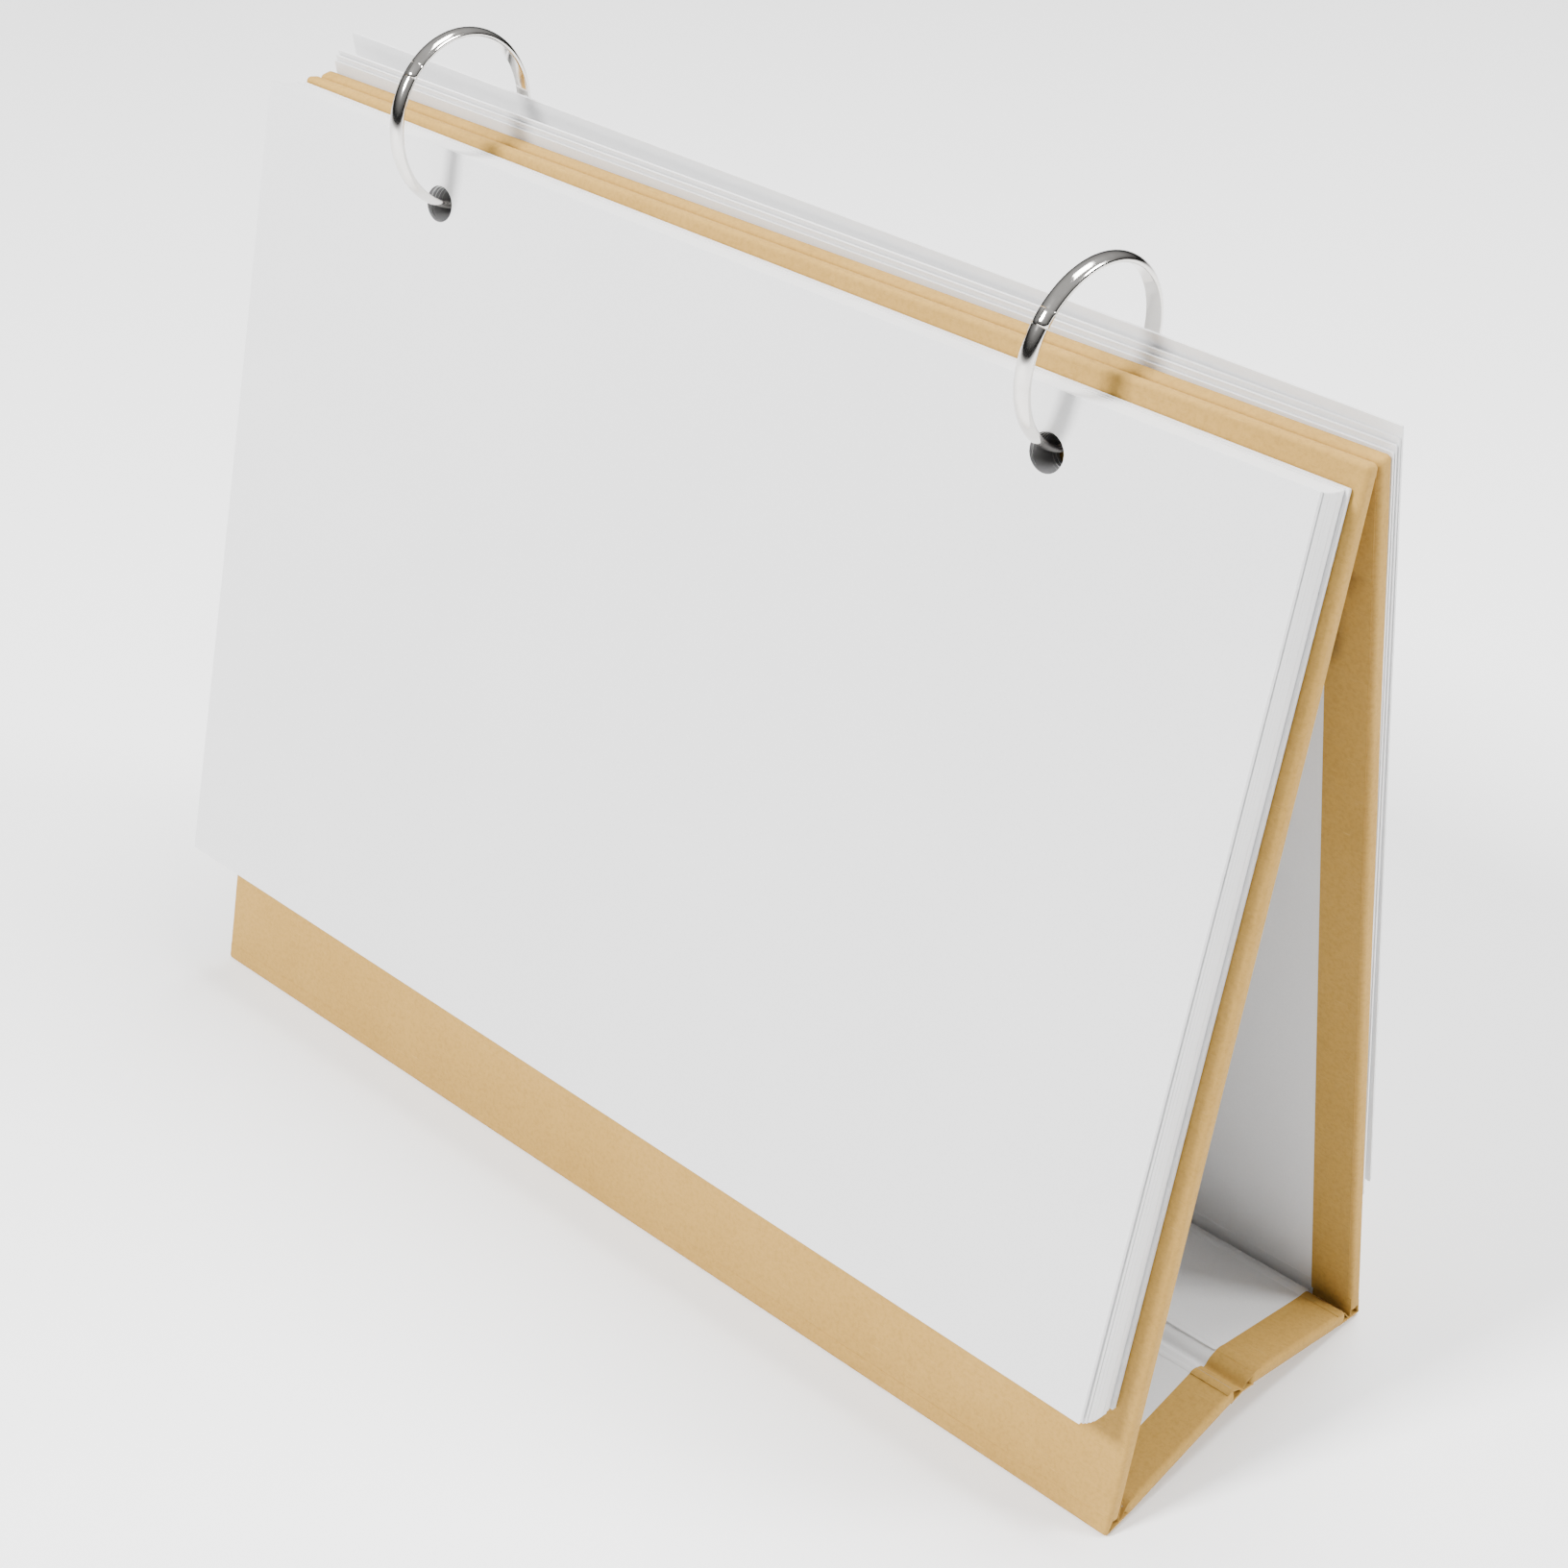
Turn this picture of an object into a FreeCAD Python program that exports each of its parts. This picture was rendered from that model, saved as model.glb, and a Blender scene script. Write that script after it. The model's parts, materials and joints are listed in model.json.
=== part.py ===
"""Flip desk calendar on a folding paper-wrapped board stand, with two snap rings.

Frame: +X to the right, +Y to the back, +Z up, millimetres. The origin is on
the table, at the centre of the stand's footprint. Every piece is one solid in
parts/, and all of them are written in their place in the open, standing pose.
"""
import FreeCAD, Part
import math
import os

Vector = FreeCAD.Vector

# --- Driving dimensions -----------------------------------------------------
# Stand
panel_width = 210.0        # every board of the stand, along X
panel_slant = 169.0        # foot to top edge, along the panel
footprint_depth = 69.0     # foot to foot
base_rise_angle = 10.6     # each half of the base climbs to the middle fold (deg)
board_thickness = 2.0      # grey board
wrap_thickness = 0.3       # kraft paper
turn_in_width = 7.0        # kraft folded over onto the inner face
liner_proud = 0.05         # the white liner stands a little above the turn-in
apex_gap = 0.4             # between the inner top edges of the two panels
edge_radius = 0.8          # rounding of the wrapped edges
foot_radius = 1.6          # outer radius of the paper rolled round each foot
foot_flat = 0.1            # the roll is pressed flat by this much on the table
foot_board_clearance = 0.3  # board ends above the rolled foot by this much
fold_clearance = 0.35      # axis of a foot fold outside both inner faces
base_setback = 0.9         # base board starts this far behind the foot fold axis
mid_groove = 4.0           # between the two base boards, over the middle fold
crease_gap = 0.05          # a crease strip to the wrap that moves against it

# Rings
ring_radius = 13.7         # centre of the wire
ring_spacing = 123.4       # from ring to ring
ring_centre_forward = 5.0  # centre of the rings in front of the apex
ring_centre_rise = 3.8     # and above the panels' top edges
wire_width = 2.8           # along X
wire_height = 1.2          # in the plane of the ring
wire_edge = 0.25           # each edge of the flat inner side is rounded by this
clasp_angle = 138.0        # centre of the snap joint, from +Y towards +Z (deg)
clasp_step = 5.0           # half the length of the stepped overlap (deg)
clasp_gap = 0.08           # between the two ends of the snap joint
pivot_angle = -16.0        # hinge of the upper half (deg)
knuckle_radius = 1.2
knuckle_gap = 0.04         # between the two eyes, along X
pin_radius = 0.45
pin_clearance = 0.04       # radial, in the eye that turns
pin_head_radius = 0.8
pin_head_height = 0.2
pin_head_gap = 0.05        # between the far head and the eye that turns

# Leaves
bare_band = 23.9           # front panel left bare below its first leaf
leaf_hole_radius = 2.9
leaf_hole_edge = 9.5       # hole centre below the leaf's top edge
leaf_hang = 0.45           # hole centre below the wire's centre
board_hole_radius = 3.4
front_leaf_count = 9
front_leaf_thickness = 0.65
front_leaf_gap = 0.3       # first leaf off the front panel
front_leaf_pitch = 0.76    # from leaf to leaf
back_leaf_count = 4
back_leaf_thickness = 0.4
back_leaf_gap = 0.3        # first leaf off the back panel
back_leaf_pitch = 0.65
back_leaf_flare = 0.9      # the last leaf stands off by this much more

# --- Sizes that follow ------------------------------------------------------
wrapped = board_thickness + 2 * wrap_thickness      # a wrapped board
rise = math.radians(base_rise_angle)


def apex_closure(lean):
    """Left-over distance from the panel's inner top edge to the apex."""
    return (panel_slant * math.sin(lean) + wrapped * math.cos(lean)
            + apex_gap / 2 - footprint_depth / 2)


def solve(function, low, high):
    """Root of a rising function, by halving."""
    for _ in range(60):
        middle = (low + high) / 2
        if function(middle) > 0:
            high = middle
        else:
            low = middle
    return (low + high) / 2


lean = solve(apex_closure, 0.0, 1.0)                # panels from the vertical
corner = math.pi / 2 - lean - rise                  # panel to base, at a foot
roll_tangent = foot_radius / math.tan(corner / 2)   # corner to start of the roll
roll_centre = foot_radius / math.sin(corner / 2)    # corner to centre of the roll
roll_direction = (math.pi / 2 - lean + rise) / 2    # of that centre, from +Y
# The sharp corner lies a little below the table; the roll rests on the table.
foot_y = -footprint_depth / 2
foot_z = foot_radius - foot_flat - roll_centre * math.sin(roll_direction)
# Foot fold axis: outside the inner face of the panel and of the base.
fold_reach = (wrapped + fold_clearance) / math.tan(corner / 2)
base_start = fold_reach + base_setback
base_end = (footprint_depth / 2 - mid_groove / 2) / math.cos(rise)
base_middle = footprint_depth / 2 / math.cos(rise)
board_start = roll_tangent + foot_board_clearance
half_width = panel_width / 2
leaf_width = panel_width
ring_y = -ring_centre_forward
ring_z = foot_z + panel_slant * math.cos(lean) + ring_centre_rise
ring_places = [-ring_spacing / 2, ring_spacing / 2]
ring_inner = ring_radius - wire_height / 2
ring_outer = ring_radius + wire_height / 2

# Local frames: X across, Y into the piece from its outer face, Z up the panel
# (or Y along the base and Z up through it), with the foot's corner at zero.
panel_frame = FreeCAD.Placement(
    Vector(0, foot_y, foot_z),
    FreeCAD.Rotation(Vector(1, 0, 0), -math.degrees(lean)))
base_frame = FreeCAD.Placement(
    Vector(0, foot_y, foot_z),
    FreeCAD.Rotation(Vector(1, 0, 0), base_rise_angle))


# --- Helpers ----------------------------------------------------------------
def box(x_half, y_low, y_high, z_low, z_high):
    """Box centred on X = 0."""
    return Part.makeBox(2 * x_half, y_high - y_low, z_high - z_low,
                        Vector(-x_half, y_low, z_low))


def placed(shape, frame):
    copy = shape.copy()
    copy.Placement = frame.multiply(copy.Placement)
    return copy


def mirrored(shape):
    """The same piece on the back half of the stand."""
    return shape.mirror(Vector(0, 0, 0), Vector(0, 1, 0))


def face_from(edges):
    return Part.Face(Part.Wire(Part.__sortEdges__(edges)))


def line(a, b):
    return Part.LineSegment(a, b).toShape()


def arc(a, b, c):
    return Part.Arc(a, b, c).toShape()


def round_x_edges(shape, radius, keep):
    """Round the edges that lie along X and for which keep(centre) is true."""
    edges = [e for e in shape.Edges
             if abs(abs(e.tangentAt(e.FirstParameter).x) - 1) < 1e-6
             and keep(e.CenterOfMass)]
    return shape.makeFillet(radius, edges)


def on_the_table(shape):
    """The shape without what would be below the table."""
    return shape.cut(box(panel_width, -footprint_depth, footprint_depth,
                         -foot_radius, 0))


def write(shape, name):
    solid = shape.Solids[0] if shape.Solids else shape
    assert len(shape.Solids) == 1 and solid.isValid(), name
    solid.exportStep("parts/" + name + ".step")


# --- Stand ------------------------------------------------------------------
def panel_coordinates(y, z):
    """Depth behind the front panel's outer face and height up the panel."""
    dy, dz = y - foot_y, z - foot_z
    return (dy * math.cos(lean) - dz * math.sin(lean),
            dy * math.sin(lean) + dz * math.cos(lean))


ring_depth, ring_up = panel_coordinates(ring_y, ring_z)
# The same centre, seen from the back panel.
ring_depth_back, ring_up_back = panel_coordinates(-ring_y, ring_z)


def wire_height_at(depth, centre_depth, centre_up):
    """Where the ring's lower arc crosses a plane parallel to the panel."""
    return centre_up - math.sqrt(ring_radius ** 2 - (depth - centre_depth) ** 2)


def drill(shape, radius, depth_low, depth_high, up):
    """Round holes for both rings, through the panel's thickness."""
    for x in ring_places:
        shape = shape.cut(Part.makeCylinder(
            radius, depth_high - depth_low, Vector(x, depth_low, up),
            Vector(0, 1, 0)))
    return shape


def make_panel(centre_depth, centre_up):
    """Board, kraft wrap and liner of one upright panel, in its local frame."""
    inner = wrap_thickness + board_thickness
    hole_up = wire_height_at(wrapped / 2, centre_depth, centre_up)
    board = box(half_width - wrap_thickness, wrap_thickness, inner,
                board_start, panel_slant - wrap_thickness)
    sleeve = box(half_width, 0, wrapped, board_start, panel_slant)
    sleeve = round_x_edges(sleeve, edge_radius,
                           lambda c: c.z > panel_slant - 0.1)
    window = box(half_width - turn_in_width, inner, wrapped + 1,
                 board_start, panel_slant - turn_in_width)
    wrap = sleeve.cut(board).cut(window).fuse(foot_roll()).removeSplitter()
    board = round_x_edges(board, edge_radius - wrap_thickness,
                          lambda c: c.z > panel_slant - 1)
    wrap = wrap.cut(box(half_width - wrap_thickness, wrap_thickness, inner,
                        board_start, board_start + 1))
    liner = box(half_width - turn_in_width, inner, wrapped + liner_proud,
                board_start, panel_slant - turn_in_width)
    pieces = {"board": board, "wrap": wrap, "liner": liner}
    return {name: drill(shape, board_hole_radius, -1, wrapped + 1, hole_up)
            for name, shape in pieces.items()}


def foot_roll():
    """The wrap below the board: straight, then rolled under the foot."""
    centre = Vector(-half_width, foot_radius, roll_tangent)
    under = math.pi - corner                      # angle the roll turns through

    def rolled(radius, angle):
        return centre + Vector(0, -radius * math.cos(angle),
                               -radius * math.sin(angle))

    inner_radius = foot_radius - wrap_thickness
    outer_top = Vector(-half_width, 0, board_start)
    inner_top = Vector(-half_width, wrap_thickness, board_start)
    profile = face_from([
        line(outer_top, rolled(foot_radius, 0)),
        arc(rolled(foot_radius, 0), rolled(foot_radius, under / 2),
            rolled(foot_radius, under)),
        line(rolled(foot_radius, under), rolled(inner_radius, under)),
        arc(rolled(inner_radius, under), rolled(inner_radius, under / 2),
            rolled(inner_radius, 0)),
        line(rolled(inner_radius, 0), inner_top),
        line(inner_top, outer_top)])
    return profile.extrude(Vector(panel_width, 0, 0))


def make_base_half():
    """Board, kraft wrap and liner of the front half of the base."""
    inner = wrap_thickness + board_thickness
    board = box(half_width - wrap_thickness, base_start, base_end,
                wrap_thickness, inner)
    sleeve = box(half_width, base_start, base_end, 0, wrapped)
    window = box(half_width - turn_in_width, base_start, base_end,
                 inner, wrapped + 1)
    wrap = sleeve.cut(board).cut(window)
    liner = box(half_width - turn_in_width, base_start, base_end,
                inner, wrapped + liner_proud)
    return {"board": board, "wrap": wrap, "liner": liner}


def make_foot_crease():
    """Bare paper from the rolled foot to the base board."""
    return box(half_width, roll_tangent + crease_gap, base_start - crease_gap,
               0, wrap_thickness)


def make_middle_crease():
    """Bare paper over the middle fold, an upside-down V, in the row frame."""
    middle = Vector(-half_width, 0, foot_z + base_middle * math.sin(rise))
    along = Vector(0, math.cos(rise), math.sin(rise))
    reach = base_middle - base_end - crease_gap
    up = Vector(0, -math.sin(rise), math.cos(rise))
    low_end = middle - along * reach
    high_end = low_end + up * wrap_thickness
    peak = middle + Vector(0, 0, wrap_thickness / math.cos(rise))

    def back(point):
        return Vector(point.x, -point.y, point.z)

    corners = [low_end, middle, back(low_end), back(high_end), peak, high_end]
    profile = Part.Face(Part.makePolygon(corners + corners[:1]))
    return profile.extrude(Vector(panel_width, 0, 0))


# --- Rings ------------------------------------------------------------------
def wire_profile():
    """Domed outside, flat inside, in the XY plane with Y as the radius."""
    half, flat = wire_width / 2, wire_width / 2 - wire_edge
    shoulder = ring_inner + wire_edge
    bend = wire_edge * math.sqrt(0.5)
    return face_from([
        line(Vector(-flat, ring_inner, 0), Vector(flat, ring_inner, 0)),
        arc(Vector(flat, ring_inner, 0),
            Vector(flat + bend, shoulder - bend, 0),
            Vector(half, shoulder, 0)),
        arc(Vector(half, shoulder, 0), Vector(0, ring_outer, 0),
            Vector(-half, shoulder, 0)),
        arc(Vector(-half, shoulder, 0),
            Vector(-flat - bend, shoulder - bend, 0),
            Vector(-flat, ring_inner, 0))])


def sector(profile, start, end):
    """Turn a profile about the ring's centre line, from one angle to another."""
    solid = profile.revolve(Vector(0, 0, 0), Vector(1, 0, 0), end - start)
    solid.rotate(Vector(0, 0, 0), Vector(1, 0, 0), start)
    return solid


def half_cutter(side, start, end):
    """Takes away one side of the wire between two angles."""
    gap = clasp_gap / 2
    low, high = (-gap, wire_width) if side > 0 else (-wire_width, gap)
    bottom, top = ring_inner - 1, ring_outer + 1
    corners = [Vector(low, bottom, 0), Vector(high, bottom, 0),
               Vector(high, top, 0), Vector(low, top, 0)]
    return sector(Part.Face(Part.makePolygon(corners + corners[:1])),
                  start, end)


def on_ring(angle, radius=ring_radius):
    return Vector(0, radius * math.cos(math.radians(angle)),
                  radius * math.sin(math.radians(angle)))


def x_cylinder(radius, x_low, x_high, centre):
    return Part.makeCylinder(radius, x_high - x_low,
                             Vector(x_low, centre.y, centre.z),
                             Vector(1, 0, 0))


def make_ring():
    """Lower half, upper half and pin of one ring, about its centre."""
    pivot = on_ring(pivot_angle)
    half = wire_width / 2
    neck = math.degrees(math.asin((knuckle_radius + clasp_gap) / ring_radius))
    end_gap = math.degrees(clasp_gap / ring_radius)
    bore = x_cylinder(pin_radius + pin_clearance, -half - 1, half + 1, pivot)

    upper = sector(wire_profile(), pivot_angle, clasp_angle + clasp_step)
    upper = upper.cut(half_cutter(-1, clasp_angle - clasp_step,
                                  clasp_angle + clasp_step + 1))
    upper = upper.cut(half_cutter(-1, pivot_angle - 1, pivot_angle + neck))
    upper = upper.fuse(x_cylinder(knuckle_radius, knuckle_gap / 2, half, pivot))

    lower = sector(wire_profile(), clasp_angle - clasp_step + end_gap,
                   pivot_angle + 360)
    lower = lower.cut(half_cutter(1, clasp_angle - clasp_step,
                                  clasp_angle + clasp_step + end_gap))
    lower = lower.cut(half_cutter(1, pivot_angle + 360 - neck,
                                  pivot_angle + 361))
    lower = lower.fuse(x_cylinder(knuckle_radius, -half, -knuckle_gap / 2,
                                  pivot))

    near_head, far_head = -half - pin_head_height, half + pin_head_gap
    pin = x_cylinder(pin_radius, near_head, far_head + pin_head_height, pivot)
    for low in (near_head, far_head):
        pin = pin.fuse(x_cylinder(pin_head_radius, low,
                                  low + pin_head_height, pivot))
    pin = pin.removeSplitter()
    tight = x_cylinder(pin_radius, -half - 1, half + 1, pivot)
    return {"upper": upper.cut(bore), "lower": lower.cut(tight), "pin": pin}


# --- Leaves -----------------------------------------------------------------
def leaf_hole_up(outer_depth, thickness, centre_depth, centre_up):
    """Where a leaf's holes hang on the wire."""
    middle = outer_depth + thickness / 2
    return wire_height_at(middle, centre_depth, centre_up) - leaf_hang


first_front_leaf = -(front_leaf_gap + front_leaf_thickness)
leaf_height = (leaf_hole_up(first_front_leaf, front_leaf_thickness,
                            ring_depth, ring_up)
               + leaf_hole_edge - bare_band)


def make_leaf(outer_depth, thickness, centre_depth, centre_up):
    """Leaf in front of a panel; outer_depth is its outer face (negative)."""
    hole_up = leaf_hole_up(outer_depth, thickness, centre_depth, centre_up)
    top = hole_up + leaf_hole_edge
    inner_depth = outer_depth + thickness
    leaf = box(leaf_width / 2, outer_depth, inner_depth,
               top - leaf_height, top)
    return drill(leaf, leaf_hole_radius, outer_depth - 1, inner_depth + 1,
                 hole_up)


def leaf_depths(count, gap, thickness, pitch, flare):
    """Outer face of each leaf, from the innermost outwards."""
    depths = [-(gap + thickness + i * pitch) for i in range(count)]
    depths[-1] -= flare
    return depths


# --- Write every piece ------------------------------------------------------
os.makedirs("parts", exist_ok=True)

front = make_panel(ring_depth, ring_up)
back = make_panel(ring_depth_back, ring_up_back)
base = make_base_half()
for piece, plain in (("board", "board"), ("wrap", "kraft_wrap"),
                     ("liner", "liner")):
    write(on_the_table(placed(front[piece], panel_frame)),
          "front_panel_" + plain)
    write(on_the_table(mirrored(placed(back[piece], panel_frame))),
          "back_panel_" + plain)
    write(placed(base[piece], base_frame), "base_front_" + plain)
    write(mirrored(placed(base[piece], base_frame)), "base_back_" + plain)

write(placed(make_foot_crease(), base_frame), "front_foot_crease")
write(mirrored(placed(make_foot_crease(), base_frame)), "back_foot_crease")
write(make_middle_crease(), "middle_crease")

for side, ring_x in zip(("left", "right"), ring_places):
    for piece, shape in make_ring().items():
        shape.translate(Vector(ring_x, ring_y, ring_z))
        write(shape, side + "_ring_" + piece)

for number, depth in enumerate(leaf_depths(
        front_leaf_count, front_leaf_gap, front_leaf_thickness,
        front_leaf_pitch, 0), 1):
    leaf = make_leaf(depth, front_leaf_thickness, ring_depth, ring_up)
    write(placed(leaf, panel_frame), "front_leaf_%d" % number)

for number, depth in enumerate(leaf_depths(
        back_leaf_count, back_leaf_gap, back_leaf_thickness,
        back_leaf_pitch, back_leaf_flare), 1):
    leaf = make_leaf(depth, back_leaf_thickness, ring_depth_back, ring_up_back)
    write(mirrored(placed(leaf, panel_frame)), "back_leaf_%d" % number)
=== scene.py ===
"""Flip desk calendar: a kraft-wrapped folding stand, blank leaves and two snap rings.

Everything is in metres in the frame of the CAD model. Flat pieces are rebuilt
from the outline of the CAD plate that they replace, as rounded, slightly bowed
paper and board, and the rings are swept again with a finer section.
"""

import json
import math
import random

import bmesh
import bpy
from mathutils import Matrix, Vector
from mathutils.geometry import delaunay_2d_cdt


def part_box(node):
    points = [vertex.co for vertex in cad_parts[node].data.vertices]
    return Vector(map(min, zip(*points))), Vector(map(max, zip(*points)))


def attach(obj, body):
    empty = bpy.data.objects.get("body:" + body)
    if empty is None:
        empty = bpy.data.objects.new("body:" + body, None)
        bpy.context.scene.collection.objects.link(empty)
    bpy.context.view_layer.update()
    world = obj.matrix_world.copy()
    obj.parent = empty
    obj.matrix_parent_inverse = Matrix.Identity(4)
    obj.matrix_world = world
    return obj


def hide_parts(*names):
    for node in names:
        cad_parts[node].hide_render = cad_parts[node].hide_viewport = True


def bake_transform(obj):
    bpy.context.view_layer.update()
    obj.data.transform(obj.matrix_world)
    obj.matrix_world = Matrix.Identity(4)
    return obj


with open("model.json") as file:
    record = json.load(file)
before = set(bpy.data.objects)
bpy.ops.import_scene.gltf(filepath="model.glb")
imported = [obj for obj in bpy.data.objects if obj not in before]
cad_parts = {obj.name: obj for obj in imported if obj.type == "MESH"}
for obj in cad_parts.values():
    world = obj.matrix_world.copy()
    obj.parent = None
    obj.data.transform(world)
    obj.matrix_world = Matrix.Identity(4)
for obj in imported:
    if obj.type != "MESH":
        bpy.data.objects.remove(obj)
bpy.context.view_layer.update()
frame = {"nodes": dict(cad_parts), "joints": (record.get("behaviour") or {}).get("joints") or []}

MM = 0.001
rng = random.Random(7)

# --- Stand ------------------------------------------------------------------
wrap_thickness = 0.3 * MM
turn_in_width = 7.0 * MM
edge_radius = 0.75 * MM         # rounded wrapped edge
corner_radius = 0.8 * MM        # rounded corner of a wrapped board, in its plane
foot_radius = 0.9 * MM
foot_paper = 0.85 * MM          # kraft and the lap of its turn-in, rolled round a foot
side_swell = 0.45 * MM          # paper standing off the side edges of the boards
top_swell = 0.5 * MM
board_wave = 0.06 * MM          # how far a wrapped board strays from flat
board_hole_margin = 0.05 * MM   # board holes are this much wider than in CAD
liner_thickness = 0.06 * MM
liner_corner_radius = 0.3 * MM
liner_depth = 0.3 * MM          # hidden side of a liner, below the board's surface
margin_thickness = 0.10 * MM
margin_depth = 0.2 * MM         # the same for a turned-in margin
margin_ragged = 0.25 * MM       # unevenness of the margins' mitres
lining_paper = 0.12 * MM        # thickness of the lining pressed into a fold

# --- Leaves -----------------------------------------------------------------
leaf_corner_radius = 0.25 * MM
leaf_hole_radius = 2.9 * MM
front_leaf_count = 9
front_leaf_sheet = 0.64 * MM    # each front leaf is a few thin sheets lying close
front_block_sheet = 0.755 * MM  # those in the middle of the stack touch each other
front_flare = 1.6 * MM          # the stack opens towards its foot
front_shift = -1.2 * MM         # the stack hangs a little to the left
front_belly = 0.85 * MM         # the middle leaves reach this much lower
front_side_trim = 0.5 * MM
front_top_trim = 0.6 * MM
front_turn = math.radians(-0.7)
back_leaf_sheet = 0.34 * MM
back_turn = math.radians(-0.5)
back_trim = (0.4 * MM, 0.0, 0.0)
back_down = (-1.3, -0.9, -0.65, -0.35)    # along the panel, for each rear leaf (mm)
back_close = (-0.2, -0.4, -0.45, 0.0)     # towards the panel, for each rear leaf (mm)

# --- Rings (angles in degrees from +Y towards +Z) ---------------------------
ring_radius = 13.7 * MM
ring_section_width = 2.8 * MM
ring_section_height = 1.25 * MM
ring_shoulder = 0.28 * MM       # rounding of the flat inner side's edges
clasp_angle = {"left": 134.0, "right": 143.0}
clasp_step = 5.0                # half the length of the stepped overlap
clasp_gap = 0.35                # between the two ends
clasp_nick = 0.12 * MM          # the clasp's ends are softened over this length
halves_overlap = 0.6            # a half section runs this far into the full one
halves_gap = 0.05 * MM          # each half section stands off the middle plane
pivot_angle = -16.0
knuckle_radius = 1.25 * MM
pin_radius = 0.42 * MM
pin_head_radius = 0.8 * MM
ring_offset = {"left": Vector((0, -1.3, 1.0)) * MM, "right": Vector((0, 1.0, -1.1)) * MM}
ring_yaw = {"left": 0.5, "right": -2.8}
ring_tilt = {"left": -1.4, "right": 3.65}

# --- Camera (angles in degrees) ---------------------------------------------
camera_azimuth = 42.17
camera_elevation = 31.25
camera_roll = 1.63
camera_distance = 0.484
camera_target = Vector((-0.0087, 0.0135, 0.0683))
camera_lens = 65.2
camera_shift = (0.0048, -0.0232)

# --- Fineness of the meshes -------------------------------------------------
leaf_grid = 6.0 * MM
board_grid = 7.0 * MM
outline_step = 5.0 * MM
corner_steps = 4
hole_points = 28

panel_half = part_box("front_panel_kraft_wrap")[1][0] + side_swell
liner_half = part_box("front_panel_liner")[1][0]


# --- Plates of the frame ----------------------------------------------------
class Plate:
    """A flat CAD node: its normal, its up direction and its extent along each."""

    def __init__(self, node, outward):
        mesh = frame["nodes"][node].data
        widest = max(mesh.polygons, key=lambda p: p.area)
        normal = Vector(widest.normal)
        if normal.dot(Vector(outward)) < 0:
            normal.negate()
        self.normal = normal
        self.across = Vector((1, 0, 0))
        self.up = normal.cross(self.across)
        if abs(self.up.z) > 0.5 and self.up.z < 0:
            self.up.negate()
        if abs(self.up.z) <= 0.5 and self.up.y < 0:
            self.up.negate()
        corners = [v.co for v in mesh.vertices]
        self.x = (min(c.x for c in corners), max(c.x for c in corners))
        self.u = self.span(corners, self.up)
        self.n = self.span(corners, self.normal)
        self.points = corners

    @staticmethod
    def span(points, direction):
        values = [p.dot(direction) for p in points]
        return min(values), max(values)

    def at(self, x, u, n):
        return self.across * x + self.up * u + self.normal * n

    def holes(self):
        """Centre and radius of the punched hole on each side."""
        found = []
        margin = 3 * MM
        inner = [p for p in self.points
                 if self.x[0] + margin < p.x < self.x[1] - margin
                 and self.u[0] + margin < p.dot(self.up) < self.u[1] - margin]
        for side in (-1, 1):
            rim = [p for p in inner if p.x * side > 20 * MM]
            if rim:
                x_low, x_high = min(p.x for p in rim), max(p.x for p in rim)
                low, high = self.span(rim, self.up)
                found.append(((x_low + x_high) / 2, (low + high) / 2,
                              (x_high - x_low) / 2))
        return found


# --- Mesh helpers -----------------------------------------------------------
def new_object(name, points, faces, material, sharp_angle=35):
    mesh = bpy.data.meshes.new(name)
    mesh.from_pydata([tuple(p) for p in points], [], faces)
    mesh.validate()
    shell = bmesh.new()
    shell.from_mesh(mesh)
    bmesh.ops.recalc_face_normals(shell, faces=shell.faces)
    shell.to_mesh(mesh)
    shell.free()
    mesh.polygons.foreach_set("use_smooth", [True] * len(mesh.polygons))
    mesh.set_sharp_from_angle(angle=math.radians(sharp_angle))
    mesh.materials.append(material)
    made = bpy.data.objects.new(name, mesh)
    bpy.context.scene.collection.objects.link(made)
    return made


def smooth_noise(seed, size):
    """A gentle random field over the sheet, from a few long sine waves."""
    local = random.Random(seed)
    waves = [(local.uniform(-1, 1) / size, local.uniform(-1, 1) / size,
              local.uniform(0, 2 * math.pi)) for _ in range(4)]

    def field(x, u):
        return sum(math.sin(a * x * 6 + b * u * 6 + c) for a, b, c in waves) / 4
    return field


def rounded_rectangle(x_span, u_span, radius, step):
    """Outline (x, u, normal x, normal u) of a rectangle with rounded corners."""
    corners = []
    centres = [(x_span[1] - radius, u_span[1] - radius, 0),
               (x_span[0] + radius, u_span[1] - radius, 90),
               (x_span[0] + radius, u_span[0] + radius, 180),
               (x_span[1] - radius, u_span[0] + radius, 270)]
    for x, u, start in centres:
        for i in range(corner_steps + 1):
            a = math.radians(start + 90 * i / corner_steps)
            corners.append((x + radius * math.cos(a), u + radius * math.sin(a),
                            math.cos(a), math.sin(a)))
    fine = []
    for here, there in zip(corners, corners[1:] + corners[:1]):
        reach = math.hypot(there[0] - here[0], there[1] - here[1])
        count = max(1, round(reach / step))
        fine += [tuple(p + (q - p) * i / count for p, q in zip(here, there))
                 for i in range(count)]
    return fine


def subdivided(outline, step):
    fine = []
    for (ax, au), (bx, bu) in zip(outline, outline[1:] + outline[:1]):
        count = max(1, round(math.hypot(bx - ax, bu - au) / step))
        fine += [(ax + (bx - ax) * i / count, au + (bu - au) * i / count)
                 for i in range(count)]
    return fine


def inside(x, u, outline):
    """Even-odd test of a point in a closed outline."""
    result = False
    for (ax, au), (bx, bu) in zip(outline, outline[1:] + outline[:1]):
        if (au > u) != (bu > u) and x < (bx - ax) * (u - au) / (bu - au) + ax:
            result = not result
    return result


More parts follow.
